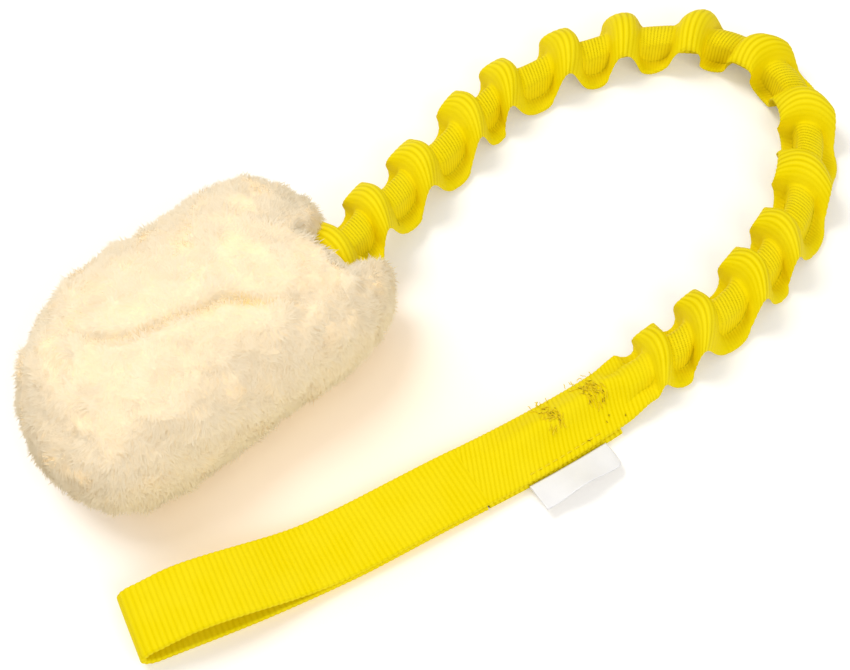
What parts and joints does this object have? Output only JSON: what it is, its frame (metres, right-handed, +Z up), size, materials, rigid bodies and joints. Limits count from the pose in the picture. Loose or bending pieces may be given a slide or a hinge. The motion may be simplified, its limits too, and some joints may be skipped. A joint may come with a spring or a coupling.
{
  "type": "bungee tug toy",
  "caption": "Dog's tug toy: a sheepskin bite pad on a ruffled webbing bungee with an elastic core, ending in a flat webbing hand loop with a blank label.",
  "frame": {"origin": "middle of the bite pad's flat underside, on the surface that the toy lies on", "axes": "+X along the hand loop from its fold to the sewn junction, +Z up from the surface, +Y from the hand loop towards the pad"},
  "size_m": [0.3302, 0.1846, 0.0571],
  "materials": {
    "fleece": "fluffy sheepskin pile",
    "filling": "loose fibre",
    "webbing": "ribbed woven nylon, slight sheen",
    "elastic": "covered elastic cord",
    "thread": "sewing thread",
    "label_tape": "smooth satin tape"
  },
  "bodies": {
    "pad": {"fleece_cover": "fleece", "pad_filling": "filling", "closing_stitches": "thread", "anchor_tail": "webbing", "anchor_stitches": "thread"},
    "bungee_1": {"core_1": "elastic", "sleeve_1": "webbing", "core_2": "elastic", "sleeve_2": "webbing"},
    "bungee_2": {"core_3": "elastic", "sleeve_3": "webbing"},
    "bungee_3": {"core_4": "elastic", "sleeve_4": "webbing"},
    "bungee_4": {"core_5": "elastic", "sleeve_5": "webbing"},
    "bungee_5": {"core_6": "elastic", "sleeve_6": "webbing"},
    "bungee_6": {"core_7": "elastic", "sleeve_7": "webbing"},
    "grip": {"junction_strap": "webbing", "core_tail": "elastic", "loop_tail": "webbing", "inner_bartack": "thread", "outer_bartack": "thread", "label_stitches": "thread"},
    "label_tab": {"label": "label_tape"},
    "hand_loop": {"handle_loop": "webbing"}
  },
  "joints": [
    {"name": "pad_swing", "type": "hinge", "parent": "pad", "child": "bungee_1", "pos_m": [0.0626, 0.01528, 0.02032], "axis": [0, 0, -1], "range_deg": [-35, 4], "deforming": ["core_1", "sleeve_1"]},
    {"name": "bungee_stretch", "type": "slide", "parent": "bungee_1", "child": "bungee_2", "axis": [0.9979, 0.065, 0], "range_m": [0, 0.08], "stiffness_N_per_m": 100},
    {"name": "bend_1", "type": "hinge", "parent": "bungee_2", "child": "bungee_3", "pos_m": [0.22344, 0.06463, 0.0086], "axis": [0, 0, 1], "range_deg": [0, 30], "deforming": ["core_4", "sleeve_4"]},
    {"name": "bend_2", "type": "hinge", "parent": "bungee_3", "child": "bungee_4", "pos_m": [0.25266, 0.03525, 0.0086], "axis": [0, 0, 1], "range_deg": [0, 70], "deforming": ["core_5", "sleeve_5"]},
    {"name": "bend_3", "type": "hinge", "parent": "bungee_4", "child": "bungee_5", "pos_m": [0.24306, -0.00908, 0.0086], "axis": [0, 0, 1], "range_deg": [0, 45]},
    {"name": "bungee_stretch_2", "type": "slide", "parent": "bungee_5", "child": "bungee_6", "axis": [-0.9053, -0.4249, 0], "range_m": [0, 0.04], "stiffness_N_per_m": 100},
    {"name": "handle_swing", "type": "hinge", "parent": "bungee_6", "child": "grip", "pos_m": [0.13649, -0.06926, 0.00595], "axis": [0, 0, 1], "range_deg": [-3, 60], "deforming": ["core_7", "sleeve_7"]},
    {"name": "handle_lift", "type": "hinge", "parent": "grip", "child": "hand_loop", "pos_m": [0.0619, -0.08095, 0.0046], "axis": [-0.1041, 0.9946, 0], "range_deg": [0, 60]},
    {"name": "label_flap", "type": "hinge", "parent": "grip", "child": "label_tab", "pos_m": [0.1031, -0.08907, 0.0024], "axis": [-0.9893, -0.1457, 0], "range_deg": [-10, 70], "stiffness_Nm_per_rad": 0.0005}
  ],
  "couplings": [
    {"joint": "bungee_stretch_2", "follows": "bungee_stretch", "ratio": 0.5}
  ]
}
